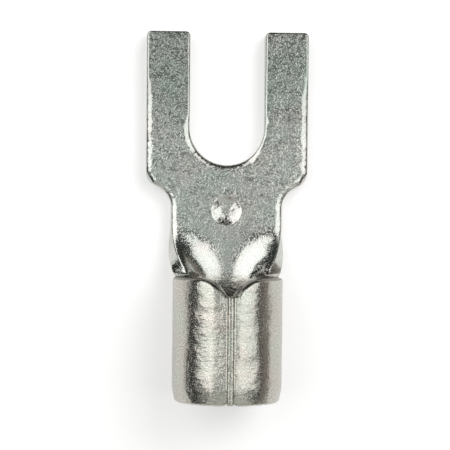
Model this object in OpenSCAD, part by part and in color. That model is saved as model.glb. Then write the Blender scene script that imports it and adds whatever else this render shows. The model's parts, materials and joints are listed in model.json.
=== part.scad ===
// Fork terminal for a stud and a crimped wire, stamped and rolled from one tinned copper sheet.
// Millimetres. The origin is the centre of the slot's round end, on the underside of the tongue.
// +Y runs to the tips of the fork, -Y along the barrel, and +Z up through the barrel's seam.

/* [Sheet] */
// Thickness of the sheet
sheet_t = 0.95; // [0.7:0.05:1.1]
// Width of the edge that the punch draws round along the upper face
edge_w = 0.38; // [0.2:0.01:0.42]
// Depth of that edge
edge_d = 0.2; // [0.1:0.01:0.4]
// Radius along the edges of the lower face
under_r = 0.08; // [0.04:0.01:0.15]

/* [Fork] */
// Width over both tines
fork_w = 8.15; // [7.6:0.05:9.6]
// Width of the slot between the tines
slot_w = 3.8; // [3.2:0.1:4.6]
// From the centre of the slot's round end to the tips
tip_reach = 4.8; // [3:0.1:8]
// Radius on the corners of the tips
tip_r = 0.22; // [0.16:0.01:0.6]
// Width of the upper edges of the tips, which are sheared off crisper in a later stroke
tip_edge_w = 0.12; // [0.06:0.01:0.15]
// From the centre of the slot's round end to where the outer edges start to turn crisp
trim_y = 1.5; // [1:0.1:2.4]
// Length over which they turn crisp
trim_run = 1; // [0.2:0.1:1.4]
// From the centre of the slot's round end to where the slot's left edge starts to turn crisp
slot_trim_y = 0.1; // [0.1:0.1:2.4]
// Length over which it turns crisp
slot_trim_run = 0.5; // [0.1:0.1:1.4]
// Where the slot's right edge starts to turn crisp, in degrees from the bottom of the slot
slot_trim_turn = 40; // [20:5:65]
// Degrees over which it turns crisp
slot_trim_sweep = 20; // [10:5:25]

/* [Shoulder and neck] */
// From the centre of the slot's round end back to the shoulder's corner
shoulder_y = 2.7; // [2.5:0.1:3.4]
// Slope of the shoulder, from square across
shoulder_slope = 29; // [20:1:40]
// Radius on the shoulder's corner
shoulder_r = 0.68; // [0.42:0.02:0.9]
// Depth of the drawn edge on that corner, where it is deepest
corner_d = 0.42; // [0.2:0.02:0.6]
// Radius where the shoulder runs into the neck
neck_fillet = 1.05; // [0.5:0.05:1.3]
// Width of the neck
neck_w = 5.6; // [4.8:0.1:5.9]
// From the centre of the slot's round end back to where the neck starts to curl
curl_start = 5.15; // [5:0.05:7]
// Length over which the neck curls up into the round of the barrel
curl_len = 2.3; // [1.4:0.05:4]
// How late the curl comes: 1 is even, more holds it back towards the barrel
curl_ease = 1.2; // [1:0.1:2]
// Share of the barrel's curve that the even curl reaches at the front of the barrel
curl_end = 0.9; // [0.8:0.01:1]
// Length before the front of the barrel over which the neck is squeezed to the barrel's full curve
squeeze_len = 0.4; // [0.2:0.05:0.6]
// Radius in the corner between the neck's edge and the front of the barrel
throat_r = 0.15; // [0.1:0.05:0.6]

/* [Barrel] */
// Bore for the wire
bore_d = 3.5; // [3:0.05:4.2]
// Length of the barrel
barrel_len = 6.15; // [4:0.05:9]
// Radius on the outer edge of the barrel's front
rim_r = 0.27; // [0.1:0.01:0.32]
// Radius at both mouths of the bore
mouth_r = 0.1; // [0.05:0.01:0.2]
// Length of the rolled-off edge at the wire end
roll_len = 0.85; // [0.2:0.05:1.2]
// Depth of the rolled-off edge at the wire end
roll_depth = 0.11; // [0.05:0.01:0.25]
// How late the roll comes: 1 is a straight taper, more is rounder
roll_ease = 1.5; // [1:0.1:3]
// Width of the broken edge at the wire end, along the barrel
end_w = 0.14; // [0.06:0.01:0.18]
// Depth of the broken edge at the wire end
end_d = 0.24; // [0.1:0.01:0.3]

/* [Seam] */
// Turn of the seam from straight up, in degrees
seam_turn = 1; // [-10:1:10]
// Gap between the two butted edges of the sheet
seam_gap = 0.26; // [0.16:0.02:0.3]
// Width of the flat to the left of the seam, where the sheet's edge stayed straight in rolling
left_flat_w = 0.9; // [0.4:0.1:1.2]
// Width of the flat to the right of the seam
right_flat_w = 0.5; // [0.4:0.1:1.2]
// Radius on the lips of the seam
lip_r = 0.16; // [0.14:0.01:0.2]
// Diameter of the bead of filler in the seam
bead_d = 0.3; // [0.3:0.01:0.36]
// How far the bead lies below the barrel's skin
bead_sink = 0.03; // [0.01:0.01:0.05]
// Width over which each lobe of the front curves back into the notch at the seam
lobe_w = 1.45; // [0.8:0.05:1.8]
// Depth of the notch at the front of the seam
notch_depth = 0.95; // [0.4:0.05:1.5]
// Radius on the sheet's corners at the wire end of the seam
tail_r = 0.24; // [0.22:0.01:0.6]

/* [Mark] */
// Diameter of the plain round punch mark on the tongue
mark_d = 1.5; // [0.8:0.1:2]
// Depth of the punch mark
mark_depth = 0.15; // [0.05:0.01:0.25]
// From the centre of the slot's round end back to the punch mark
mark_y = 4.2; // [3.4:0.1:4.4]

/* [Hidden] */

$fn = 96;
// Chords along each rounded edge, along each corner of the outline, and across and along the curl
edge_steps = 4;
corner_steps = 7;
across_steps = 28;
curl_steps = 12;
// The neck lies this far inside the barrel's wall where it enters it, and goes in this deep
lap = 0.02;
bite = 0.35;
// What a cut runs past the metal
past = 0.5;

bore_r = bore_d / 2;
barrel_r = bore_r + sheet_t;
mid_r = bore_r + sheet_t / 2;
axis_z = barrel_r;
barrel_front = curl_start + curl_len;

// A quarter round or part of an ellipse, as points
function sweep(c, rx, ry, a0, a1, steps) =
    [for (i = [0:steps]) let (a = a0 + (a1 - a0) * i / steps) c + [rx * cos(a), ry * sin(a)]];

// How an upper edge is drawn, as [width, depth]: fully at 1, and crisp at 0
function drawn(share) = let (w = tip_edge_w + (edge_w - tip_edge_w) * share) [w, w * edge_d / edge_w];

// An arc of the outline, as [point, outward normal, how its upper edge is drawn]:
// side is 1 round metal and -1 round a gap
function arc(c, r, a0, a1, steps, side, share) =
    [for (i = [0:steps])
        let (a = a0 + (a1 - a0) * i / steps, n = [cos(a), sin(a)]) [c + r * n, side * n, drawn(share)]];

// The edge of the sheet as [inset, height], along the lower face and along the upper one
under_edge = sweep([under_r, under_r], under_r, under_r, 270, 180, edge_steps);

function upper_edge(e) = sweep([e.x, sheet_t - e.y], e.x, e.y, 180, 90, edge_steps);

// Skins a row of closed loops of equal length. Each loop runs out along one side and back along
// the other, so the points opposite each other close its two ends like the rungs of a ladder.
module loft(rows) {
    count = len(rows[0]);
    tail = count * (len(rows) - 1);
    sides = [for (o = [0:count:tail - count], k = [0:count - 1])
        [o + k, o + (k + 1) % count, o + count + (k + 1) % count, o + count + k]];
    first_end = [for (k = [0:count / 2 - 2]) [k, count - 1 - k, count - 2 - k, k + 1]];
    last_end = [for (q = first_end) [tail + q[0], tail + q[3], tail + q[2], tail + q[1]]];
    faces = [for (q = concat(sides, first_end, last_end)) each [[q[0], q[1], q[2]], [q[0], q[2], q[3]]]];
    polyhedron([for (row = rows) each row], faces);
}

// The right half of the fork's outer outline, from the neck to the tip
slope_turn = 90 - shoulder_slope;
corner_y = shoulder_r * tan(slope_turn / 2) - shoulder_y;
neck_y = -shoulder_y - (fork_w - neck_w) / 2 * tan(shoulder_slope) - neck_fillet * tan(slope_turn / 2);
outer_right = concat(
    [[[neck_w / 2, -curl_start], [1, 0], drawn(1)]],
    arc([neck_w / 2 + neck_fillet, neck_y], neck_fillet, 180, 180 - slope_turn, corner_steps, -1, 1),
    deepened(arc([fork_w / 2 - shoulder_r, corner_y], shoulder_r, -slope_turn, 0, corner_steps, 1, 1)),
    [[[fork_w / 2, trim_y], [1, 0], drawn(1)], [[fork_w / 2, trim_y + trim_run], [1, 0], drawn(0)]],
    arc([fork_w / 2 - tip_r, tip_reach - tip_r], tip_r, 0, 90, corner_steps, 1, 0));

// The drawn edge goes deeper towards the middle of a corner
function deepened(chain) = [for (i = [0:len(chain) - 1]) let (spot = chain[i])
    [spot[0], spot[1], spot[2] + [0, (corner_d - edge_d) * sin(180 * i / (len(chain) - 1))]]];

// One side of the slot from its bottom to the tip, drawn up to a turn round its end and crisp beyond
// a sweep more, or along a straight run from a height if the whole turn is drawn
slot_steps = 2 * corner_steps + 3;
slot_bottom = [[0, -slot_w / 2], [0, 1], drawn(1)];

function slot_side(turn, turn_sweep, y, run) = concat(
    [for (i = [1:slot_steps]) let (a = 90 * i / slot_steps, n = [sin(a), -cos(a)])
        [slot_w / 2 * n, -n, drawn(1 - min(max((a - turn) / turn_sweep, 0), 1))]],
    [[[slot_w / 2, y], [-1, 0], drawn(turn < 90 ? 0 : 1)], [[slot_w / 2, y + run], [-1, 0], drawn(0)]],
    arc([slot_w / 2 + tip_r, tip_reach - tip_r], tip_r, 180, 90, corner_steps, 1, 0));

function flipped(chain) =
    [for (i = [len(chain) - 1:-1:0]) let (spot = chain[i])
        [[-spot[0].x, spot[0].y], [-spot[1].x, spot[1].y], spot[2]]];

outer = concat(flipped(outer_right), [[[0, -curl_start], [0, 0], drawn(1)]], outer_right);
inner = concat(
    flipped(slot_side(90, slot_trim_sweep, slot_trim_y, slot_trim_run)),
    [slot_bottom],
    slot_side(slot_trim_turn, slot_trim_sweep, slot_trim_y, slot_trim_run));

// The sheet's edge at a spot of the outline, from the lower face to the upper one
function edge_points(spot) =
    [for (e = concat(under_edge, upper_edge(spot[2]))) let (p = spot[0] - e.x * spot[1]) [p.x, p.y, e.y]];

// One slice through the sheet, from the outer edge to the slot
function rung(out, in) = let (back = edge_points(in))
    concat(edge_points(out), [for (i = [len(back) - 1:-1:0]) back[i]]);

// The flat tongue: a strip of sheet that runs from one tip round the slot to the other
module tongue() {
    loft([for (i = [0:len(outer) - 1]) rung(outer[i], inner[i])]);
}

// A section of the flat neck as [x, height], out along the lower face and back along the upper one
function between(a, b) = [for (i = [1:across_steps - 1]) a + (b - a) * i / across_steps];

function neck_section(half_w) = let (over_edge = upper_edge(drawn(1))) concat(
    [for (i = [edge_steps:-1:0]) [under_edge[i].x - half_w, under_edge[i].y]],
    between([under_r - half_w, 0], [half_w - under_r, 0]),
    [for (e = under_edge) [half_w - e.x, e.y]],
    [for (e = over_edge) [half_w - e.x, e.y]],
    between([half_w - edge_w, sheet_t], [edge_w - half_w, sheet_t]),
    [for (i = [edge_steps:-1:0]) [over_edge[i].x - half_w, over_edge[i].y]]);

// Curls a point of the flat section round the barrel's bottom line
function curled(p, bend_r) = let (
    turn = p.x / bend_r * 180 / PI,
    r = bend_r + sheet_t / 2 - p.y)
    [r * sin(turn), bend_r + sheet_t / 2 - r * cos(turn)];

// How far the neck has curled at a distance along the curl, as a share of the barrel's curve
function curl_at(d) = curl_end * pow(d / curl_len, curl_ease)
    + (1 - curl_end) * pow(max(1 - (curl_len - d) / squeeze_len, 0), 2);

// A station of the neck, at a distance along the curl: its section, thinned by the lap and curled
function neck_row(d, half_w, y) = let (thinning = 1 - 2 * lap * d / curl_len / sheet_t)
    [for (p = neck_section(half_w)) let (
        thin = [p.x, sheet_t / 2 + (p.y - sheet_t / 2) * thinning],
        q = d > 0 ? curled(thin, mid_r / curl_at(d)) : thin)
        [q.x, y, q.y]];

// The stations run from inside the barrel's wall, through the throat's corner, to the flat neck
throat_len = curl_len - throat_r;
stations = concat(
    [[curl_len, neck_w / 2 + throat_r, -barrel_front - bite]],
    [for (p = sweep([0, throat_r], throat_r, throat_r, -90, 0, edge_steps))
        [curl_len - p.y, neck_w / 2 + throat_r - p.x, p.y - barrel_front]],
    [for (i = [curl_steps - 1:-1:0]) let (d = throat_len * i / curl_steps)
        [d, neck_w / 2, -curl_start - d]]);

module curled_neck() {
    loft([for (s = stations) neck_row(s[0], s[1], s[2])]);
}

// The outer skin where it rolls off at the wire end, as [radius, distance from the front]
roll_off = [for (i = [0:corner_steps]) let (s = i / corner_steps)
    [barrel_r - roll_depth * pow(s, roll_ease), barrel_len - end_w - (roll_len - end_w) * (1 - s)]];

// The broken edge that ends it
end_r = barrel_r - roll_depth - end_d;
end_arc = sweep([end_r, barrel_len - end_w], end_d, end_w, 0, 90, edge_steps);
broken_edge = [for (i = [1:edge_steps]) end_arc[i]];

// The tube's wall as [radius, distance from the front], with its rounded edges
wall = concat(
    sweep([barrel_r - rim_r, rim_r], rim_r, rim_r, -90, 0, edge_steps),
    roll_off,
    broken_edge,
    sweep([bore_r + mouth_r, barrel_len - mouth_r], mouth_r, mouth_r, 90, 180, edge_steps),
    sweep([bore_r + mouth_r, mouth_r], mouth_r, mouth_r, 180, 270, edge_steps));

module tube() {
    rotate([90, 0, 0])
        rotate_extrude()
            polygon(wall);
}

// Half of the notch at the front of the seam, widened by an inset: a parabola from the lobe to the bottom
function notch_half(inset) = concat(
    [[seam_gap / 2 + lobe_w, past]],
    [for (i = [0:corner_steps]) let (
        s = i / corner_steps,
        n = [-2 * notch_depth * s, lobe_w] / norm([2 * notch_depth * s, lobe_w]))
        [seam_gap / 2 + lobe_w * (1 - s), lap - notch_depth * s * s] - inset * n]);

// Half of the gap between the sheet's rounded corners at the wire end of the seam, widened by an inset
function tail_half(inset) = concat(
    [[tail_r + seam_gap / 2, past]],
    sweep([tail_r + seam_gap / 2, lap - tail_r], tail_r - inset, tail_r - inset, 90, 180, corner_steps));

// The rounded upper edge of a cut through the top wall, as [inset, height over the barrel's axis]
function cut_edge(r) = concat(
    [[0, 0]],
    sweep([r, barrel_r - r], r, r, 180, 90, edge_steps),
    [[r, barrel_r + past]]);

// Cuts a gap down through the top wall, from its half outline at each step of its edge
module corner_gap(halves, edge) {
    loft([for (i = [0:len(edge) - 1]) let (half = halves[i], z = edge[i].y) concat(
        [for (p = half) [p.x, p.y, z]],
        [for (k = [len(half) - 1:-1:0]) [-half[k].x, half[k].y, z]])]);
}

// The groove between the two lips of the seam, with the bead of filler left standing in it
module seam_groove() {
    lip_x = lip_r + seam_gap / 2;
    rotate([90, 0, 0])
        translate([0, barrel_r - lip_r, -past])
            linear_extrude(barrel_len + 2 * past)
                difference() {
                    translate([-lip_x, 0]) square([2 * lip_x, lip_r + past]);
                    for (side = [-1, 1]) translate([side * lip_x, 0]) circle(lip_r);
                    translate([0, lip_r - bead_sink - bead_d / 2]) circle(d = bead_d);
                }
}

// A flat along the barrel: it starts at the seam and lies towards a side
module seam_flat(w, side) {
    half_turn = asin(w / 2 / barrel_r);
    rotate([0, side * half_turn, 0])
        translate([-w, -barrel_len - past, barrel_r * cos(half_turn)])
            cube([2 * w, barrel_len + 2 * past, past]);
}

module barrel() {
    translate([0, -barrel_front, axis_z])
        difference() {
            tube();
            rotate([0, seam_turn, 0]) {
                corner_gap([for (e = cut_edge(rim_r)) notch_half(e.x)], cut_edge(rim_r));
                translate([0, -barrel_len, 0])
                    mirror([0, 1, 0])
                        corner_gap([for (e = cut_edge(lip_r)) tail_half(e.x)], cut_edge(lip_r));
                seam_flat(left_flat_w, -1);
                seam_flat(right_flat_w, 1);
                seam_groove();
            }
        }
}

// A shallow round dimple, as a ball punch leaves it
module punch_mark() {
    ball_r = (mark_d * mark_d / 4 + mark_depth * mark_depth) / (2 * mark_depth);
    translate([0, -mark_y, sheet_t + ball_r - mark_depth]) sphere(ball_r);
}

module fork_terminal() {
    color("silver")
        difference() {
            union() {
                tongue();
                curled_neck();
                barrel();
            }
            punch_mark();
        }
}

fork_terminal();
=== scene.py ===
# %% [markdown]
# # A fork terminal, stamped and rolled from tinned copper
# A bare crimp terminal is one small piece of sheet metal. A press stamps a flat blank, draws its edges
# a little round, curls the neck up into a trough and rolls the rear flaps into a tube for the wire.
# This lesson makes the mesh in the same order, because each shape on the finished part is then where
# its tool would have left it.

# %% Load the fixed frame
import json
import math

import bmesh
import bpy
from mathutils import Matrix, Vector, noise


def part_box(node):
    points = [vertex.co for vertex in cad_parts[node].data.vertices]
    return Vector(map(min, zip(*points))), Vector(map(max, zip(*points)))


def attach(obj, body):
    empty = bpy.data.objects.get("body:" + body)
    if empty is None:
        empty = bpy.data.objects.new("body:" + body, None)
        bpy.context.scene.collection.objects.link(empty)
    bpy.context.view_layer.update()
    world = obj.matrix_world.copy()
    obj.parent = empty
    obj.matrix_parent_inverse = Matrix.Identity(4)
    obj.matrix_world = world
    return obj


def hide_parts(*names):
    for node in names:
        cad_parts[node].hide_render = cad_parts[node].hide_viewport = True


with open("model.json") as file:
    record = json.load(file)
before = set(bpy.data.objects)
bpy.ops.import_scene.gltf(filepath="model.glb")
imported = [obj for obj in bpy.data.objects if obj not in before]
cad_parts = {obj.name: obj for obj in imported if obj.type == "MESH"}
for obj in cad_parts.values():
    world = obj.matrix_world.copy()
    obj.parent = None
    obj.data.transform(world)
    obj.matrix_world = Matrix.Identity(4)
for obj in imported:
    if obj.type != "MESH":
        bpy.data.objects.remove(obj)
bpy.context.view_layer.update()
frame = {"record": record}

# %% [markdown]
# ## Sizes
# The frame already holds the sizes that something else has to fit: the sheet's thickness, the bore and
# the reach of the tips. They are read from it and not typed again. What only shapes the metal is named
# here, or in the cell that uses it. Lengths are in millimetres while the mesh is made, because bmesh's
# own tolerances are too coarse for tenths of a millimetre written in metres. The finished mesh is
# scaled down once.

# %% Sizes from the frame, and the blank's own
MM = 0.001
TINY = 1e-4  # vertices closer than this are one
NEAR = 0.01  # a spot this close to a line lies on it
mounts = {m["name"]: m for m in frame["record"]["mounts"]}
low, high = [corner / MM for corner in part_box("fork_terminal")]

sheet_t = mounts["screw_head_face"]["pos_m"][2] / MM
bore_r = mounts["wire_barrel"]["dims"]["r_mm"]
barrel_r = bore_r + sheet_t
mid_r = bore_r + sheet_t / 2
fork_half = high.x
tip_y = high.y
wire_end_y = low.y

slot_half = 1.9
tip_r = 0.22
shoulder_y = -2.7
shoulder_slope = math.radians(29)
shoulder_r = 0.68
neck_half = 2.8
neck_fillet = 1.05
curl_y = -5.0
curl_len = 2.5
throat_r = 0.15
barrel_y = curl_y - curl_len
tail_r = 0.24
print(f"sheet {sheet_t:.2f} mm, bore {2 * bore_r:.2f} mm, barrel {2 * barrel_r:.2f} mm across")

# %% [markdown]
# ## The blank's outline
# Seen flat, the blank is a T: a fork with a slot, a narrower neck, and a wide cross-piece that will
# wrap round into the barrel. One half is drawn with a vertex at each sharp corner. A vertex bevel then
# rounds each corner, which is easier to read and to change than a chain of arcs. The length that a
# bevel takes off each side of a corner is the radius times the tangent of half the turn. Only the lobe
# beside the seam isn't a round: it curves back into the notch more and more, as a parabola does, so its
# points come from that formula.
#
# A few points lie on straight stretches and round nothing. The edges get their widths later, and a
# width can only change cleanly where the outline runs on straight.

# %% Corners of one half
seam_gap = 0.21
flap_x = math.pi * mid_r - seam_gap / 2
lobe_w = 1.285
notch_depth = 0.9
notch_r = 0.16
notch_end_y = barrel_y - notch_depth
trim_y = 1.5
trim_run = 1.0
slot_trim_y = 0.1
slot_trim_run = 0.5
neck_corner_y = shoulder_y - (fork_half - neck_half) * math.tan(shoulder_slope)
LOBE_POINTS = 8


def spread(start, end, count):
    """Evenly spaced places from start up to, but not including, end."""
    return [start + (end - start) * i / count for i in range(count)]


lobe = [((flap_x - lobe_w * (1 - s), barrel_y - notch_depth * s**2), 0)
        for s in spread(0, 1, LOBE_POINTS)]
notch_corner = Vector((flap_x, notch_end_y))
rim_end = (Vector(lobe[-1][0]) + notch_corner) / 2
half_corners = [
    ((0, -slot_half), 0),
    ((slot_half, -slot_half), slot_half),
    ((slot_half, slot_trim_y), 0),
    ((slot_half, slot_trim_y + slot_trim_run), 0),
    ((slot_half, tip_y), tip_r),
    ((fork_half, tip_y), tip_r),
    ((fork_half, trim_y + trim_run), 0),
    ((fork_half, trim_y), 0),
    ((fork_half, shoulder_y), shoulder_r),
    ((neck_half, neck_corner_y), neck_fillet),
    ((neck_half, barrel_y), throat_r),
    *lobe,
    (rim_end, 0),
    (notch_corner, notch_r),
    ((flap_x, wire_end_y), tail_r),
    ((0, wire_end_y), 0),
]
rounded = sum(radius > 0 for spot, radius in half_corners)
print(len(half_corners), "points on one half,", rounded, "of them rounded")

# %% Round the corners and mirror the half
FEWEST_SEGMENTS = 6
SEGMENTS_AT_1_MM = 12


def round_corner(bm, corner, radius):
    """Rounds one corner of a flat outline to a radius."""
    sides = [(edge.other_vert(corner).co - corner.co).normalized() for edge in corner.link_edges]
    turn = math.pi - sides[0].angle(sides[1])
    segments = max(FEWEST_SEGMENTS, round(SEGMENTS_AT_1_MM * math.sqrt(radius)))
    bmesh.ops.bevel(bm, geom=[corner], offset=radius * math.tan(turn / 2), offset_type="OFFSET",
                    segments=segments, profile=0.5, affect="VERTICES", clamp_overlap=False, material=-1)


blank = bmesh.new()
corners = [(blank.verts.new((x, y, 0)), radius) for (x, y), radius in half_corners]
blank.faces.new([vert for vert, radius in corners])
for vert, radius in corners:
    if radius:
        round_corner(blank, vert, radius)
bmesh.ops.remove_doubles(blank, verts=blank.verts, dist=TINY)
bmesh.ops.mirror(blank, geom=blank.verts[:] + blank.edges[:] + blank.faces[:], matrix=Matrix.Identity(4),
                 merge_dist=TINY, axis="X")
bmesh.ops.recalc_face_normals(blank, faces=blank.faces)
print("outline:", len(blank.verts), "vertices,", len(blank.faces), "faces")

# %% [markdown]
# ## Thickness and rounded edges
# A punch leaves a sheet with one smoothly drawn edge and one crisp edge. Here the upper edges of the
# fork are drawn, the tips are crisper because they are sheared off in a later stroke, and the lower
# face is nearly sharp. The Bevel modifier takes one width and multiplies it with each edge's own bevel
# weight, so a single pass gives every edge its own width and the strips still meet cleanly.

# %% Extrude the sheet
wall = bmesh.ops.extrude_face_region(blank, geom=blank.faces[:])
lifted = [item for item in wall["geom"] if isinstance(item, bmesh.types.BMVert)]
bmesh.ops.translate(blank, vec=(0, 0, sheet_t), verts=lifted)
bmesh.ops.recalc_face_normals(blank, faces=blank.faces)
print(f"blank {sheet_t:.2f} mm thick:", len(blank.verts), "vertices,", len(blank.faces), "faces")

# %% Set a bevel weight on each edge
edge_w = 0.38
tip_edge_w = 0.12
under_r = 0.08
rim_r = 0.22
mouth_r = 0.1
lip_r = 0.11
end_w = 0.14
crisp_r = 0.04
SHARP_TURN = 1  # radians


def edge_width(spot):
    """Width of the rounded edge at a spot of the flat blank's rim."""
    upper = spot.z > sheet_t / 2
    if spot.y > barrel_y + NEAR:
        if not upper:
            return under_r
        crisp_from = slot_trim_y if abs(spot.x) < slot_half + NEAR else trim_y
        return tip_edge_w if spot.y > crisp_from else edge_w
    at_wire_end = spot.y < wire_end_y + NEAR
    at_seam = abs(spot.x) > flap_x - NEAR
    if upper:
        return crisp_r if at_seam else mouth_r
    if at_wire_end:
        return end_w
    near_seam = abs(spot.x) > rim_end.x
    return lip_r if near_seam or spot.y < wire_end_y + tail_r else rim_r


weight = blank.edges.layers.float.new("bevel_weight_edge")
for edge in blank.edges:
    a, b = edge.verts
    on_rim = abs(a.co.z - b.co.z) < TINY and edge.calc_face_angle() > SHARP_TURN
    edge[weight] = edge_width((a.co + b.co) / 2) / edge_w if on_rim else 0
print(sum(edge[weight] > 0 for edge in blank.edges), "edges are to be rounded")

# %% Bevel the edges
EDGE_SEGMENTS = 6


def to_object(bm, name):
    """Makes a mesh object from a bmesh, and frees the bmesh."""
    mesh = bpy.data.meshes.new(name)
    bm.to_mesh(mesh)
    bm.free()
    piece = bpy.data.objects.new(name, mesh)
    bpy.context.scene.collection.objects.link(piece)
    return piece


def with_modifiers_applied(piece):
    """Gives a bmesh of the object with its modifiers applied, and removes the object."""
    seen = piece.evaluated_get(bpy.context.evaluated_depsgraph_get())
    bm = bmesh.new()
    bm.from_mesh(seen.to_mesh())
    seen.to_mesh_clear()
    bpy.data.objects.remove(piece)
    return bm


stamped = to_object(blank, "stamped_blank")
bevel = stamped.modifiers.new("rounded edges", "BEVEL")
bevel.limit_method = "WEIGHT"
bevel.offset_type = "OFFSET"
bevel.width = edge_w
bevel.segments = EDGE_SEGMENTS
bevel.profile = 0.5
bevel.use_clamp_overlap = False
sheet = with_modifiers_applied(stamped)
print("stamped blank:", len(sheet.verts), "vertices,", len(sheet.faces), "faces")

# %% [markdown]
# ## Drawn edges are oval
# A punch pulls the metal down less than it pulls it in, so a drawn edge is oval: wide and shallow. A
# bevel is as deep as it is wide, so the vertices of the fork's upper edges are lifted until the depth
# is right. Two places differ on this terminal. The corners of the shoulders are drawn deeper, because
# metal can flow away there on two sides, and the right side of the slot is crisp, because the punch sat
# a little off to one side.

# %% Lift the fork's upper edges to ovals
edge_d = 0.2
corner_d = 0.42
slot_trim_turn = math.radians(40)
slot_trim_sweep = math.radians(20)
slope_turn = math.pi / 2 - shoulder_slope
corner_mid = Vector((fork_half - shoulder_r, shoulder_y + shoulder_r * math.tan(slope_turn / 2)))


def edge_depth(spot):
    """Depth of the drawn edge, which grows towards the middle of a shoulder's corner."""
    reach = Vector((abs(spot.x), spot.y)) - corner_mid
    along = math.atan2(-reach.y, reach.x) / slope_turn
    if 0 < along < 1 and reach.length < shoulder_r + NEAR:
        return edge_d + (corner_d - edge_d) * math.sin(math.pi * along)
    return edge_d


def clamped(value):
    """Keeps a value between 0 and 1."""
    return min(max(value, 0), 1)


def crispness(spot):
    """How crisp the slot's edge is: 0 where it is drawn, up to 1 round its right side."""
    if spot.x < 0 or spot.y > slot_trim_y + NEAR or spot.xy.length > slot_half + edge_w + NEAR:
        return 0
    turn = math.atan2(spot.x, -spot.y)
    return clamped((turn - slot_trim_turn) / slot_trim_sweep)


for vert in sheet.verts:
    drop = sheet_t - vert.co.z
    if vert.co.y > barrel_y + NEAR and TINY < drop < edge_w + TINY:
        inset = edge_w - math.sqrt(max(edge_w**2 - (edge_w - drop) ** 2, 0))
        width = edge_w + (tip_edge_w - edge_w) * crispness(vert.co)
        depth = edge_depth(vert.co) * width / edge_w
        vert.co.z = sheet_t - depth * (1 - math.sqrt(1 - max(1 - inset / width, 0) ** 2))
print(f"drawn edges {edge_w:.2f} mm wide and {edge_d:.2f} mm deep, {corner_d:.2f} mm on the shoulders")

# %% [markdown]
# ## Slicing the sheet
# A face bends only along its edges, so the part that curls needs many. bisect_plane cuts the whole
# sheet, thickness and drawn edges too, into rows along the barrel and columns across it. Two cuts
# across the neck come first: they part the fork from the rear, which alone gets columns, and the
# straight neck from the flaps. The rows are closer where the curl is squeezed to the barrel and where
# the wire end rolls off.

# %% Cut rows and columns
COLUMNS = 120
NECK_ROWS = 20
CURL_ROWS = 20
SQUEEZE_ROWS = 6
BARREL_ROWS = 34
ROLL_ROWS = 9
neck_top_y = -3.2
squeeze_len = 0.3
roll_len = 0.85
squeeze_y = barrel_y + squeeze_len
roll_y = wire_end_y + roll_len


def cut(bm, spot, normal, faces=None):
    """Cuts all faces, or some, along a plane."""
    if faces is None:
        geom = bm.verts[:] + bm.edges[:] + bm.faces[:]
    else:
        geom = list({item for face in faces for item in (face, *face.edges, *face.verts)})
    bmesh.ops.bisect_plane(bm, geom=geom, dist=TINY, plane_co=spot, plane_no=normal)


for y in (neck_top_y, (neck_corner_y + barrel_y) / 2):
    cut(sheet, (0, y, 0), (0, 1, 0))
for x in spread(-flap_x, flap_x, COLUMNS)[1:]:
    rear = [face for face in sheet.faces if all(vert.co.y < neck_top_y + 10 * TINY for vert in face.verts)]
    cut(sheet, (x, 0, 0), (1, 0, 0), rear)
rows = spread(neck_top_y, curl_y, NECK_ROWS)
rows += spread(curl_y, squeeze_y, CURL_ROWS)
rows += spread(squeeze_y, barrel_y, SQUEEZE_ROWS)
rows += spread(barrel_y, roll_y, BARREL_ROWS)
rows += [wire_end_y + roll_len * (1 - math.sin(a)) for a in spread(0, math.pi / 2, ROLL_ROWS)]
for y in rows[1:]:
    cut(sheet, (0, y, 0), (0, 1, 0))
print("sliced sheet:", len(sheet.verts), "vertices,", len(sheet.faces), "faces")

# %% [markdown]
# ## A punch mark
# The tongue has a plain round dimple, as a ball punch leaves it. The grid there is made finer with
# subdivide_edges, and its vertices are pushed down by the depth of a ball at that distance from the
# middle. Metal that is pushed aside stands up as a faint rim.

# %% Press the dimple
mark_y = -4.2
mark_r = 0.75
mark_depth = 0.15
ball_r = (mark_r**2 + mark_depth**2) / (2 * mark_depth)
RIM_RISE = 0.012
RIM_SPREAD = 0.13
RIM_SOFT = 0.02
FINE_MARGIN = 0.2
FINE_CUTS = 2
FACING_UP = 0.99
mark = Vector((0, mark_y, sheet_t))

fine_r = mark_r + FINE_MARGIN
near_mark = {edge for face in sheet.faces for edge in face.edges
             if face.normal.z > FACING_UP and (face.calc_center_median() - mark).length < fine_r}
bmesh.ops.subdivide_edges(sheet, edges=list(near_mark), cuts=FINE_CUTS, use_grid_fill=True)


def dimple(reach):
    """Depth of the dimple at a distance from its middle."""
    ball = mark_depth - ball_r + math.sqrt(max(ball_r**2 - reach**2, 0))
    soft = (ball + math.hypot(ball, RIM_SOFT)) / 2
    return soft - RIM_RISE * math.exp(-((reach - mark_r) / RIM_SPREAD) ** 2)


for vert in sheet.verts:
    reach = (vert.co - mark).length
    if abs(vert.co.z - sheet_t) < TINY and reach < mark_r + 2 * RIM_SPREAD:
        vert.co.z -= dimple(reach)
print(f"punch mark {2 * mark_r:.1f} mm across and {mark_depth:.2f} mm deep")

# %% [markdown]
# ## Rolling: the curl
# Every point of the flat sheet is turned about a bend axis above it. The distance that it lies above or
# below the middle of the sheet stays, and along that middle the sheet keeps its length, as it does in a
# real bend. Only the bend radius changes from place to place. It shrinks along the neck, and levels off
# a little short of the barrel's radius. Just before the barrel the sides are squeezed the rest of the
# way, because the flaps behind them pull them up. The floor between them settles later, inside the
# bore, so the trough runs on smoothly under the barrel's front edge. The flaps are first slipped a
# little to one side, because the seam of a rolled barrel seldom ends up exactly on top.

# %% How the sheet curls
curl_ease = 1.45
curl_end = 0.96
curl_cap = 0.84
curl_blend = 0.2
settle_len = 0.8
floor_half = 1.2
seam_turn = math.radians(1)


def eased(value):
    """Goes from 0 to 1 with a soft start and a soft end."""
    share = clamped(value)
    return share**2 * (3 - 2 * share)


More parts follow.
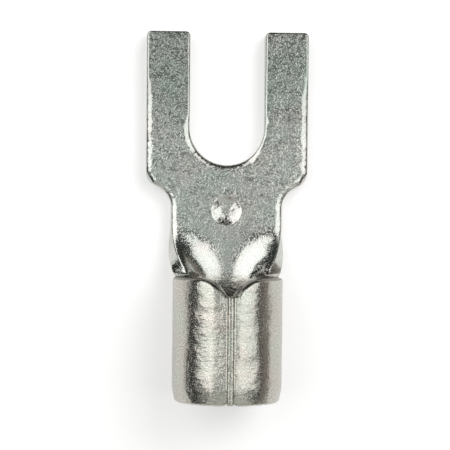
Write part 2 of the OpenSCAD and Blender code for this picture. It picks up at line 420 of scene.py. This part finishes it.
def curl_at(spot):
    """How far the sheet has curled at a spot, as a share of the barrel's curve."""
    along = min((curl_y - spot.y) / curl_len, 1)
    growing = curl_end * along**curl_ease
    # the smaller of the growing curl and its cap, with the corner between them blended
    near = max(1 - abs(growing - curl_cap) / curl_blend, 0)
    curl = min(growing, curl_cap) - curl_blend / 4 * near**2
    at_side = eased((abs(spot.x) - floor_half) / (neck_half - floor_half))
    squeezed = clamped(1 - (spot.y - barrel_y) / squeeze_len) ** 2
    settled = eased((barrel_y - spot.y) / settle_len)
    return curl + (1 - curl) * (at_side * squeezed + (1 - at_side) * settled)


def rolled(spot):
    """Where a point of the flat sheet ends up after rolling."""
    if spot.y >= curl_y:
        return spot
    past_neck = max(abs(spot.x) - neck_half - throat_r, 0) / (flap_x - neck_half - throat_r)
    across = spot.x - seam_turn * mid_r * past_neck
    bend_r = mid_r / curl_at(spot)
    turn = across / bend_r
    reach = bend_r + sheet_t / 2 - spot.z
    return Vector((reach * math.sin(turn), spot.y, bend_r + sheet_t / 2 - reach * math.cos(turn)))


half_way = curl_at(Vector((0, curl_y - curl_len / 2, 0)))
print(f"half-way along the neck the curl has reached {half_way:.2f} of the barrel's curve")

# %% [markdown]
# ## Rolling: the barrel's skin
# The outside of the barrel isn't a plain cylinder. It rolls off towards the wire end, where its edge is
# broken so that it doesn't cut the wire's strands. The edge at the front is rounded less deeply than it
# is wide. Beside the seam the skin has a flat, because the last bit of a sheet has nothing to pull it
# round, and all over it are the low waves that a rolling tool leaves. These are small changes of the
# sheet's thickness, so they are made on the flat sheet before it is rolled. The flat place of every
# vertex is kept as an attribute: the plating's grain lies on the sheet, so the material follows it
# round the bends.

# %% Shape the skin, then roll the sheet
roll_depth = 0.11
roll_ease = 1.5
end_d = 0.24
rim_d = 0.15
left_flat_w = 0.9
right_flat_w = 0.5
WAVE_HEIGHT = 0.02
WAVES = Vector((0.9, 0.6, 0))


def skin_drop(spot):
    """How far the skin lies below its full round, at the wire end and beside the seam."""
    rolled_off = clamped((roll_y - spot.y) / (roll_len - end_w))
    flat_w = left_flat_w if spot.x < 0 else right_flat_w
    off_seam = (math.pi * mid_r - abs(spot.x)) * barrel_r / mid_r
    flattened = max(off_seam * (flat_w - off_seam), 0) / (2 * barrel_r)
    return roll_depth * rolled_off**roll_ease + flattened


flat_place = sheet.verts.layers.float_vector.new("flat_place")
for vert in sheet.verts:
    vert[flat_place] = vert.co
    if vert.co.y < barrel_y and vert.co.z < sheet_t / 2:
        broken = clamped((wire_end_y + tail_r - vert.co.y) / (tail_r - end_w))
        vert.co.z *= 1 + (end_d / end_w - 1) * broken
        if vert.co.y > roll_y and abs(vert.co.x) < rim_end.x:
            vert.co.z *= rim_d / rim_r
        vert.co.z += WAVE_HEIGHT * noise.noise(vert.co * WAVES) + skin_drop(vert.co)
    vert.co = rolled(vert.co)
bmesh.ops.recalc_face_normals(sheet, faces=sheet.faces)
bmesh.ops.scale(sheet, vec=(MM, MM, MM), verts=sheet.verts)
print("open edges:", sum(not edge.is_manifold for edge in sheet.edges))

# %% [markdown]
# Smooth shading on a bevelled mesh bulges its flat faces, because each corner's normal is an even mix
# of the faces round it. The Weighted Normal modifier lets the large faces win, so flats stay flat and
# only the rounded edges look round.

# %% Shade the sheet
NORMAL_WEIGHT = 60
for face in sheet.faces:
    face.smooth = True
terminal = to_object(sheet, "stamped_terminal")
normals = terminal.modifiers.new("flat faces stay flat", "WEIGHTED_NORMAL")
normals.weight = NORMAL_WEIGHT
normals.keep_sharp = True
print("terminal:", len(terminal.data.vertices), "vertices")

# %% [markdown]
# ## The seam's filler
# The two edges of the rolled sheet don't quite meet. Tin and solder run in between them and set as a
# low strip with round edges. It is a bar with its upper edges bevelled, sliced along its length so that
# smooth noise can make it swell and sink a little, and turned with the seam about the barrel's axis.

# %% Make the bar
bead_w = 0.29
bead_edge = 0.09
bead_sink = 0.04
bead_inset = 0.03
bead_short = 0.06
bead_start_y = notch_end_y + bead_inset
bead_end_y = wire_end_y + bead_short
bead_low = bore_r + bead_inset
bead_high = barrel_r - bead_sink
BEAD_SEGMENTS = 5
BEAD_ROWS = 60

filler = bmesh.new()
bmesh.ops.create_cube(filler, size=1)
bmesh.ops.scale(filler, vec=(bead_w, bead_start_y - bead_end_y, bead_high - bead_low), verts=filler.verts)
middle = Vector((0, (bead_start_y + bead_end_y) / 2, (bead_low + bead_high) / 2))
bmesh.ops.translate(filler, vec=middle, verts=filler.verts)
crown = [edge for edge in filler.edges
         if all(vert.co.z > bead_high - TINY for vert in edge.verts) and edge.calc_length() > 2 * bead_w]
bmesh.ops.bevel(filler, geom=crown, offset=bead_edge, offset_type="OFFSET", segments=BEAD_SEGMENTS,
                profile=0.5, affect="EDGES", clamp_overlap=False, material=-1)
for y in spread(bead_start_y, bead_end_y, BEAD_ROWS)[1:]:
    cut(filler, (0, y, 0), (0, 1, 0))
print("bead from", round(bead_start_y, 2), "to", round(bead_end_y, 2), "mm")

# %% Swell the bar and turn it into the seam
BEAD_SWELL = 0.02
SWELLS_PER_MM = 1.6
SIDEWAYS = 7  # another part of the noise

flat_place = filler.verts.layers.float_vector.new("flat_place")
for vert in filler.verts:
    vert[flat_place] = (vert.co.x, vert.co.y, 0)  # height 0 counts as skin, not as a sheared edge
    along = vert.co.y * SWELLS_PER_MM
    if vert.co.z > bead_high - bead_w:
        vert.co.z += BEAD_SWELL * noise.noise((0, along, 0))
        vert.co.x += BEAD_SWELL * noise.noise((SIDEWAYS, along, 0))
bmesh.ops.rotate(filler, cent=(0, 0, 0), matrix=Matrix.Rotation(seam_turn, 3, "Y"), verts=filler.verts)
bmesh.ops.translate(filler, vec=(0, 0, barrel_r), verts=filler.verts)
bmesh.ops.scale(filler, vec=(MM, MM, MM), verts=filler.verts)
for face in filler.faces:
    face.smooth = True
bead = to_object(filler, "seam_filler")
print("filler:", len(bead.data.vertices), "vertices")

# %% [markdown]
# ## Place in the frame
# The terminal is one rigid piece, so the sheet and its filler both ride on the frame's root and share
# one material. The sheet's mesh takes the place of the frame's plain solid.

# %% Give the pieces their place in the frame
for piece in (terminal, bead):
    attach(piece, "root")
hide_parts("fork_terminal")
print("pieces:", terminal.name, "and", bead.name)

# %% [markdown]
# ## Effects of the finish
# A tin plating is never even. Under a lens it is a field of fine pebbles, the press and the rolling
# tools leave low waves, and handling leaves rub marks and short nicks. Each of these is a node group
# that puts out a height or a mask, so it can be tried out and changed by itself before the material
# adds them up.

# %% Helpers: a node group, a noise and a range
NOISE_DETAIL = 2.0


def new_group(name, inputs, outputs):
    """A shader node group with named sockets: gives the group, its input node and its output node."""
    group = bpy.data.node_groups.new(name, "ShaderNodeTree")
    for label, kind, value in inputs:
        socket = group.interface.new_socket(label, in_out="INPUT", socket_type=kind)
        if value is not None:
            socket.default_value = value
    for label, kind in outputs:
        group.interface.new_socket(label, in_out="OUTPUT", socket_type=kind)
    return group, group.nodes.new("NodeGroupInput"), group.nodes.new("NodeGroupOutput")


def noise_node(tree, vector, scale, roughness=0.55):
    """A Noise Texture whose scale is a socket or a number."""
    node = tree.nodes.new("ShaderNodeTexNoise")
    tree.links.new(vector, node.inputs["Vector"])
    if isinstance(scale, bpy.types.NodeSocket):
        tree.links.new(scale, node.inputs["Scale"])
    else:
        node.inputs["Scale"].default_value = scale
    node.inputs["Detail"].default_value = NOISE_DETAIL
    node.inputs["Roughness"].default_value = roughness
    return node.outputs["Fac"]


def ranged(tree, value, low_in, high_in, low_out=0.0, high_out=1.0):
    """A Map Range node, which also clamps."""
    node = tree.nodes.new("ShaderNodeMapRange")
    tree.links.new(value, node.inputs["Value"])
    limits = (low_in, high_in, low_out, high_out)
    for label, number in zip(("From Min", "From Max", "To Min", "To Max"), limits):
        node.inputs[label].default_value = number
    return node.outputs["Result"]


# %% Pebble grain of the plating
GRAINS_PER_MM = 13.0
GRAIN_ROUGHNESS = 0.6
STANDS_UP = (0.5, 0.76)
LIGHT_SPECK = (0.35, 0.68)

pebbles, given, result = new_group(
    "pebble_grain",
    [("Place", "NodeSocketVector", None), ("Per mm", "NodeSocketFloat", GRAINS_PER_MM)],
    [("Height", "NodeSocketFloat"), ("Speckle", "NodeSocketFloat")],
)
lumps = noise_node(pebbles, given.outputs["Place"], given.outputs["Per mm"], roughness=GRAIN_ROUGHNESS)
pebbles.links.new(ranged(pebbles, lumps, *STANDS_UP), result.inputs["Height"])
pebbles.links.new(ranged(pebbles, lumps, *LIGHT_SPECK), result.inputs["Speckle"])
print(pebbles.name, "has", len(pebbles.nodes), "nodes")

# %% Rub marks, drawn out across the sheet
RUBS_PER_MM = (2.6, 9, 1)
RUB_ROUGHNESS = 0.6


def stretched(tree, vector, factors):
    """A vector multiplied axis by axis."""
    node = tree.nodes.new("ShaderNodeVectorMath")
    node.operation = "MULTIPLY"
    tree.links.new(vector, node.inputs[0])
    node.inputs[1].default_value = factors
    return node.outputs["Vector"]


rubs, given, result = new_group(
    "rub_marks",
    [("Place", "NodeSocketVector", None)],
    [("Height", "NodeSocketFloat")],
)
long_ways = stretched(rubs, given.outputs["Place"], RUBS_PER_MM)
streaks = noise_node(rubs, long_ways, 1.0, roughness=RUB_ROUGHNESS)
rubs.links.new(streaks, result.inputs["Height"])
print(rubs.name, "has", len(rubs.nodes), "nodes")

# %% Short nicks
NICKS_PER_MM = (0.9, 4, 1)
NICK_CHANCE = (0.7, 0.72)
NICK_EDGE = (0.16, 0.06)


def math_node(tree, operation, first, second):
    """A Math node on two values, each a socket or a number."""
    node = tree.nodes.new("ShaderNodeMath")
    node.operation = operation
    for socket, value in zip(node.inputs, (first, second)):
        if isinstance(value, bpy.types.NodeSocket):
            tree.links.new(value, socket)
        else:
            socket.default_value = value
    return node.outputs[0]


nicks, given, result = new_group(
    "nick_marks",
    [("Place", "NodeSocketVector", None)],
    [("Mask", "NodeSocketFloat")],
)
cells = nicks.nodes.new("ShaderNodeTexVoronoi")
cells.inputs["Scale"].default_value = 1.0
nicks.links.new(stretched(nicks, given.outputs["Place"], NICKS_PER_MM), cells.inputs["Vector"])
chance = nicks.nodes.new("ShaderNodeSeparateColor")
nicks.links.new(cells.outputs["Color"], chance.inputs["Color"])
chosen = ranged(nicks, chance.outputs["Red"], *NICK_CHANCE)
stroke = ranged(nicks, cells.outputs["Distance"], *NICK_EDGE)
nicks.links.new(math_node(nicks, "MULTIPLY", chosen, stroke), result.inputs["Mask"])
print(nicks.name, "has", len(nicks.nodes), "nodes")

# %% [markdown]
# ## Tinned copper
# Tin is a soft grey metal, a little warm, with a faint tint that changes from place to place with the
# thickness of its skin of oxide. Colour and bump follow the same grain, so a light pebble also stands
# up. The rolling tools went over the barrel, so it is rougher, warmer and more speckled than the fork.
# Towards the tips the colour is darkened, with a ragged border, as painted shade.

# %% A metal that follows the flat sheet
plated = bpy.data.materials.new("tinned_copper")
plated.use_nodes = True
tree = plated.node_tree
shader = tree.nodes["Principled BSDF"]
shader.inputs["Metallic"].default_value = 1
place = tree.nodes.new("ShaderNodeAttribute")
place.attribute_name = "flat_place"
vector = place.outputs["Vector"]
split = tree.nodes.new("ShaderNodeSeparateXYZ")
tree.links.new(vector, split.inputs["Vector"])
flat_y = split.outputs["Y"]
flat_z = split.outputs["Z"]


def effect(group):
    """Puts a node group in the material and gives it the flat sheet's coordinates."""
    node = tree.nodes.new("ShaderNodeGroup")
    node.node_tree = group
    tree.links.new(vector, node.inputs["Place"])
    return node


grain = effect(pebbles)
rub = effect(rubs)
nick = effect(nicks)
print("effects in", plated.name, "are", [node.node_tree.name for node in (grain, rub, nick)])

# %% Helper that mixes colours
def mixed(tree, factor, first, second, blend="MIX"):
    """A colour Mix node; each colour is a socket or three numbers."""
    node = tree.nodes.new("ShaderNodeMix")
    node.data_type = "RGBA"
    node.blend_type = blend
    for label, value in (("Factor", factor), ("A", first), ("B", second)):
        if isinstance(value, bpy.types.NodeSocket):
            tree.links.new(value, node.inputs[label])
        else:
            node.inputs[label].default_value = value if label == "Factor" else (*value, 1)
    return node.outputs["Result"]


# %% Tone of the plating
DARK_GRAIN = (0.515, 0.525, 0.5)
LIGHT_GRAIN = (0.75, 0.745, 0.71)
GREENISH = (0.95, 1, 0.97)
REDDISH = (1, 0.965, 0.955)
FORK_TONE = (1, 1, 1)
BARREL_DARK = (0.77, 0.745, 0.715)
BARREL_LIGHT = (0.96, 0.93, 0.89)
# Painted shade: the colour towards the tips is darkened, with a ragged border.
TIP_SHADE_TONE = (0.74, 0.765, 0.755)
TIP_SHADE_FADE = (0.2, 3.4)
PATCHES_PER_MM = 0.7
PATCH_BORDER = (0.35, 0.65)
RAGS_PER_MM = 1.1
RAG_REACH = 2.4
BARREL_FADE = 0.2

on_barrel = ranged(tree, flat_y, barrel_y + BARREL_FADE, barrel_y - BARREL_FADE)
tone = mixed(tree, grain.outputs["Speckle"], DARK_GRAIN, LIGHT_GRAIN)
patches = ranged(tree, noise_node(tree, vector, PATCHES_PER_MM), *PATCH_BORDER)
tone = mixed(tree, 1, tone, mixed(tree, patches, GREENISH, REDDISH), "MULTIPLY")
barrel_tone = mixed(tree, grain.outputs["Speckle"], BARREL_DARK, BARREL_LIGHT)
ragged = math_node(tree, "MULTIPLY", noise_node(tree, vector, RAGS_PER_MM), RAG_REACH)
# Mask of the painted shade towards the tips.
tip_shade = ranged(tree, math_node(tree, "ADD", flat_y, ragged), *TIP_SHADE_FADE)
tone_with_tip_shade = mixed(tree, tip_shade, mixed(tree, on_barrel, FORK_TONE, barrel_tone), TIP_SHADE_TONE)
tone = mixed(tree, 1, tone, tone_with_tip_shade, "MULTIPLY")
print("tone:", len(tree.nodes), "nodes so far")

# %% [markdown]
# The barrel's sheared front edge and the floor behind it in the bore are painted darker and browner:
# painted shade, for the shadow under the lip and in the hollow of the bore. The height in the flat sheet
# tells the two
# apart from the skin: it is 0 on the skin, the sheet's thickness in the bore, and between them on a
# sheared edge.

# %% Paint shade on the sheared front edge and in the bore
# Painted shade: a dark brown for the shadow under the barrel's front lip and in the bore.
LIP_SHADE_TONE = (0.09, 0.075, 0.06)
LIP_SHADE_SHARE = 0.75
BORE_SHADE_SHARE = 0.6
BORE_FADE = 0.7
SKIN_LIMITS = (0.008, 0.045)
EDGE_LIMITS = (0.9, 0.6)
BORE_LIMITS = (0.9, 0.94)
NECK_FADE = 0.03
LOBE_FADE_START = 0.2
LOBE_FADE_END = 0.7

behind_neck = ranged(tree, flat_y, barrel_y + NECK_FADE, barrel_y)
by_lobes = ranged(tree, flat_y, notch_end_y - LOBE_FADE_END, notch_end_y - LOBE_FADE_START)
at_front = math_node(tree, "MULTIPLY", behind_neck, by_lobes)
off_skin = ranged(tree, flat_z, *SKIN_LIMITS)
off_bore = ranged(tree, flat_z, *EDGE_LIMITS)
# Mask of the painted shade on the front edge.
sheared = math_node(tree, "MULTIPLY", at_front, math_node(tree, "MULTIPLY", off_skin, off_bore))
deeper_in = ranged(tree, flat_y, barrel_y, barrel_y - BORE_FADE, 0, BORE_SHADE_SHARE)
# Mask of the painted shade in the bore.
inside = math_node(tree, "MULTIPLY", ranged(tree, flat_z, *BORE_LIMITS), deeper_in)
painted_shade = math_node(tree, "MULTIPLY", math_node(tree, "MAXIMUM", sheared, inside), LIP_SHADE_SHARE)
tree.links.new(mixed(tree, painted_shade, tone, LIP_SHADE_TONE), shader.inputs["Base Color"])
print("colour:", len(tree.nodes), "nodes so far")

# %% [markdown]
# The heights are in millimetres, and a Bump node turns them into normals. The trough is calmer than the
# flat tongue, because bending stretched it, and the rub marks lie on the barrel alone.

# %% Roughness, and the sum of the heights
FORK_ROUGHNESS = 0.13
BARREL_ROUGHNESS = 0.22
GRAIN_HEIGHT = 0.005
TROUGH_GRAIN_HEIGHT = 0.00425
WAVE_BUMP = 0.06
TROUGH_WAVE_BUMP = 0.015
BARREL_WAVE_BUMP = 0.05
WAVES_PER_MM = 1.4
RUB_HEIGHT = 0.006
NICK_DEPTH = 0.012
TROUGH_FADE = 0.8

roughness = ranged(tree, on_barrel, 0, 1, FORK_ROUGHNESS, BARREL_ROUGHNESS)
tree.links.new(roughness, shader.inputs["Roughness"])
in_trough = ranged(tree, flat_y, curl_y, curl_y - TROUGH_FADE)
grain_share = ranged(tree, in_trough, 0, 1, GRAIN_HEIGHT, TROUGH_GRAIN_HEIGHT)
front_waves = ranged(tree, in_trough, 0, 1, WAVE_BUMP, TROUGH_WAVE_BUMP)
more_waves = ranged(tree, on_barrel, 0, 1, 0, BARREL_WAVE_BUMP - TROUGH_WAVE_BUMP)
wave_share = math_node(tree, "ADD", front_waves, more_waves)
heights = [
    math_node(tree, "MULTIPLY", grain.outputs["Height"], grain_share),
    math_node(tree, "MULTIPLY", noise_node(tree, vector, WAVES_PER_MM), wave_share),
    math_node(tree, "MULTIPLY", rub.outputs["Height"], ranged(tree, on_barrel, 0, 1, 0, RUB_HEIGHT)),
    math_node(tree, "MULTIPLY", nick.outputs["Mask"], -NICK_DEPTH),
]
total = heights[0]
for other in heights[1:]:
    total = math_node(tree, "ADD", total, other)
bump = tree.nodes.new("ShaderNodeBump")
bump.inputs["Distance"].default_value = MM
tree.links.new(total, bump.inputs["Height"])
tree.links.new(bump.outputs["Normal"], shader.inputs["Normal"])
for piece in (terminal, bead):
    piece.data.materials.clear()
    piece.data.materials.append(plated)
print("finish:", len(tree.nodes), "nodes in the material")

# %% [markdown]
# ## Paper
# The terminal lies on white paper. The lamps light the paper at a plain level, and the part of its
# white that they don't reach comes from a glow that only the camera sees, so it adds no light to the
# metal and the shadow stays. What the metal mirrors of the paper is dimmer, as paper in the shade of a
# camera is.

# %% Floor
FLOOR_HALF = 2
PAPER_TONE = (0.7, 0.695, 0.695, 1)
GLOW_TONE = (1, 0.99, 0.98, 1)
PAPER_GLOW = 0.445
MIRRORED_GLOW = 0.35
MATT = 0.9

stage = bmesh.new()
bmesh.ops.create_grid(stage, x_segments=1, y_segments=1, size=FLOOR_HALF)
floor = to_object(stage, "floor")
paper = bpy.data.materials.new("white_paper")
paper.use_nodes = True
tree = paper.node_tree
sheet_of_paper = tree.nodes["Principled BSDF"]
sheet_of_paper.inputs["Base Color"].default_value = PAPER_TONE
sheet_of_paper.inputs["Roughness"].default_value = MATT
sheet_of_paper.inputs["Specular IOR Level"].default_value = 0
sheet_of_paper.inputs["Emission Color"].default_value = GLOW_TONE
rays = tree.nodes.new("ShaderNodeLightPath")
mirrored = math_node(tree, "MAXIMUM", rays.outputs["Is Glossy Ray"], rays.outputs["Is Transmission Ray"])
seen_glow = math_node(tree, "MULTIPLY", rays.outputs["Is Camera Ray"], PAPER_GLOW)
mirrored_glow = math_node(tree, "MULTIPLY", mirrored, MIRRORED_GLOW)
glow = math_node(tree, "MAXIMUM", seen_glow, mirrored_glow)
tree.links.new(glow, sheet_of_paper.inputs["Emission Strength"])
floor.data.materials.append(paper)
print("paper glows", PAPER_GLOW, "for the camera and", MIRRORED_GLOW, "in the metal")

# %% [markdown]
# ## Lights
# Bare metal has next to no colour of its own: it shows what is around it. Two softboxes lean over the
# terminal from the left and the right. They make the white patches in the trough and the light bands
# along the barrel, and the dark room between and under them makes the dark bands. The world is
# brightest almost overhead, a little towards the wire end. The flat tongue mirrors that place, and gets
# darker towards the tips, which mirror a place further off; their colour is also darkened there as
# painted shade. A key lamp from the upper right throws the shadow on the paper.

# %% World
BRIGHTEST_TOWARDS = Vector((0.07, -0.2, 1))
SKY_TINT = (0.93, 1, 0.98)
SKY_STOPS = [
    (0.0, 0.04),
    (0.35, 0.05),
    (0.866, 0.1),
    (0.927, 0.2),
    (0.951, 0.33),
    (0.9613, 0.43),
    (0.9724, 0.58),
]

world = bpy.data.worlds.new("studio")
bpy.context.scene.world = world
world.use_nodes = True
sky = world.node_tree
direction = sky.nodes.new("ShaderNodeTexCoord")
towards = sky.nodes.new("ShaderNodeVectorMath")
towards.operation = "DOT_PRODUCT"
towards.inputs[1].default_value = BRIGHTEST_TOWARDS.normalized()
sky.links.new(direction.outputs["Generated"], towards.inputs[0])
ramp = sky.nodes.new("ShaderNodeValToRGB")
sky.links.new(towards.outputs["Value"], ramp.inputs["Fac"])
sky.links.new(ramp.outputs["Color"], sky.nodes["Background"].inputs["Color"])
while len(ramp.color_ramp.elements) < len(SKY_STOPS):
    ramp.color_ramp.elements.new(0.5)
for element, (position, level) in zip(ramp.color_ramp.elements, SKY_STOPS):
    element.position = position
    element.color = (*[level * part for part in SKY_TINT], 1)
print("sky from", SKY_STOPS[0][1], "to", SKY_STOPS[-1][1])

# %% Softboxes and the key lamp
LAMP_DISTANCE = 0.4
LIT_SPOT = Vector((0, -0.0045, 0))


def softbox(name, polar, lean, radiance, wide, long):
    """An area lamp, in degrees: polar tips it sideways from overhead, lean tips it towards the fork."""
    lamp = bpy.data.lights.new(name, "AREA")
    lamp.shape = "RECTANGLE"
    lamp.size = 2 * LAMP_DISTANCE * math.tan(math.radians(long / 2))
    lamp.size_y = 2 * LAMP_DISTANCE * math.tan(math.radians(wide / 2))
    lamp.energy = radiance * math.pi * lamp.size * lamp.size_y
    stand = bpy.data.objects.new(name, lamp)
    sideways = math.radians(polar)
    aim = Vector((math.tan(sideways), math.tan(math.radians(lean)) / math.cos(sideways), 1)).normalized()
    stand.location = LIT_SPOT + aim * LAMP_DISTANCE
    stand.rotation_euler = aim.to_track_quat("Z", "Y").to_euler()
    bpy.context.scene.collection.objects.link(stand)
    print(f"{name}: {lamp.energy:.2f} W, {wide} by {long} degrees")
    return stand


softbox("left_softbox", polar=-37, lean=15, radiance=1.7, wide=51, long=56)
softbox("right_softbox", polar=36.5, lean=9, radiance=1.52, wide=44, long=46)
key = softbox("key_lamp", polar=38, lean=36, radiance=2.8, wide=42, long=42)
key.visible_glossy = False

# %% [markdown]
# Three cards stand round the terminal, out of the picture. They only show in the metal. A dark one and
# a brown one make the dark line low along each side of the barrel, and a pale one beyond the wire end
# lightens the edge that is rolled off there.

# %% Cards
def card(name, middle, wide, tall, colour):
    """A card that stands upright, faces the object and only shows in the metal."""
    panel = bmesh.new()
    bmesh.ops.create_grid(panel, x_segments=1, y_segments=1, size=0.5)
    bmesh.ops.scale(panel, vec=(wide, tall, 1), verts=panel.verts)
    facing = Vector((*middle, 0)).to_track_quat("Z", "Y").to_matrix()
    bmesh.ops.rotate(panel, cent=(0, 0, 0), matrix=facing, verts=panel.verts)
    bmesh.ops.translate(panel, vec=(*middle, tall / 2), verts=panel.verts)
    piece = to_object(panel, name)
    matt = bpy.data.materials.new(name)
    matt.use_nodes = True
    board = matt.node_tree.nodes["Principled BSDF"]
    board.inputs["Base Color"].default_value = (*colour, 1)
    board.inputs["Roughness"].default_value = MATT
    piece.data.materials.append(matt)
    piece.visible_camera = False
    piece.visible_diffuse = False
    piece.visible_shadow = False
    print(f"{name}: {wide / MM:.0f} mm wide and {tall / MM:.0f} mm tall")


card("left_card", middle=(-0.055, 0), wide=0.4, tall=0.02, colour=(0.02, 0.02, 0.018))
card("right_card", middle=(0.055, 0), wide=0.4, tall=0.02, colour=(0.4, 0.35, 0.31))
card("end_card", middle=(0, -0.06), wide=0.16, tall=0.12, colour=(0.7, 0.69, 0.67))

# %% [markdown]
# ## Camera
# The camera looks straight down from a hand's breadth, a little from the left, so it sees slightly more
# of the barrel's left flank. A long lens keeps the picture filled from there.

# %% Camera
camera_mm = 82
tilt = math.radians(2.79)
roll = math.radians(0.55)
target = Vector((-0.075, -4.926, sheet_t)) * MM
lens = bpy.data.cameras.new("camera")
lens.sensor_width = 36
lens.lens = 130.5
lens.clip_start = 0.001
camera = bpy.data.objects.new("camera", lens)
camera.rotation_euler = (0, -tilt, roll)
camera.location = target + camera.rotation_euler.to_matrix() @ Vector((0, 0, camera_mm)) * MM
bpy.context.scene.collection.objects.link(camera)
bpy.context.scene.camera = camera
bpy.context.scene.view_settings.view_transform = "Standard"
print("camera", camera_mm, "mm above the tongue")
